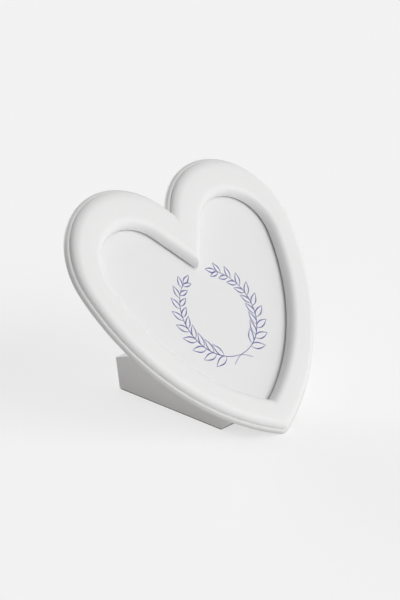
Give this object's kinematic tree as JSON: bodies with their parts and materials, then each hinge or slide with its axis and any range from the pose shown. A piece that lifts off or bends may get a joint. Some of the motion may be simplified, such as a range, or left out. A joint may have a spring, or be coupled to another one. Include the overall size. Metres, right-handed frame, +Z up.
{
  "type": "heart shaped photo frame",
  "caption": "Heart shaped photo frame with a puffy rim, a clear window over a print, swivel tabs on the back and a slide-off wedge foot that leans it back.",
  "frame": {"origin": "middle of the foot's underside, on the table", "axes": "+Z up, +X to the viewer's right across the heart, the picture faces -Y and leans back"},
  "size_m": [0.2066, 0.1383, 0.1541],
  "materials": {
    "bezel_plastic": "satin",
    "housing_plastic": "satin",
    "panel_plastic": "matte",
    "foot_plastic": "satin",
    "window_clear": "polished",
    "print_paper": "matte",
    "backing_board": "matte",
    "screw_steel": "satin",
    "button_steel": "satin",
    "pad_rubber": "matte"
  },
  "bodies": {
    "frame": {"front_bezel": "bezel_plastic", "rear_housing": "housing_plastic", "housing_screws": "screw_steel", "clear_window": "window_clear", "photo_print": "print_paper", "backing_card": "backing_board", "back_panel": "panel_plastic", "turn_button_screws": "screw_steel"},
    "foot": {"stand_foot": "foot_plastic", "foot_pad": "pad_rubber"},
    "button_1": {"turn_button_1": "button_steel"},
    "button_2": {"turn_button_2": "button_steel"},
    "button_3": {"turn_button_3": "button_steel"},
    "button_4": {"turn_button_4": "button_steel"},
    "button_5": {"turn_button_5": "button_steel"},
    "button_6": {"turn_button_6": "button_steel"}
  },
  "joints": [
    {"name": "foot_slide", "type": "slide", "parent": "foot", "child": "frame", "axis": [0, 0.6428, 0.766], "range_m": [0, 0.026]},
    {"name": "turn_button_1_swivel", "type": "hinge", "parent": "frame", "child": "button_1", "pos_m": [0.06294, 0.03499, 0.1332], "axis": [0, -0.766, 0.6428], "continuous": true},
    {"name": "turn_button_2_swivel", "type": "hinge", "parent": "frame", "child": "button_2", "pos_m": [0.08619, 0.0011, 0.0928], "axis": [0, -0.766, 0.6428], "continuous": true},
    {"name": "turn_button_3_swivel", "type": "hinge", "parent": "frame", "child": "button_3", "pos_m": [0.05534, -0.04113, 0.04248], "axis": [0, -0.766, 0.6428], "continuous": true},
    {"name": "turn_button_4_swivel", "type": "hinge", "parent": "frame", "child": "button_4", "pos_m": [-0.06294, 0.03499, 0.1332], "axis": [0, -0.766, 0.6428], "continuous": true},
    {"name": "turn_button_5_swivel", "type": "hinge", "parent": "frame", "child": "button_5", "pos_m": [-0.08619, 0.0011, 0.0928], "axis": [0, -0.766, 0.6428], "continuous": true},
    {"name": "turn_button_6_swivel", "type": "hinge", "parent": "frame", "child": "button_6", "pos_m": [-0.05534, -0.04113, 0.04248], "axis": [0, -0.766, 0.6428], "continuous": true}
  ]
}
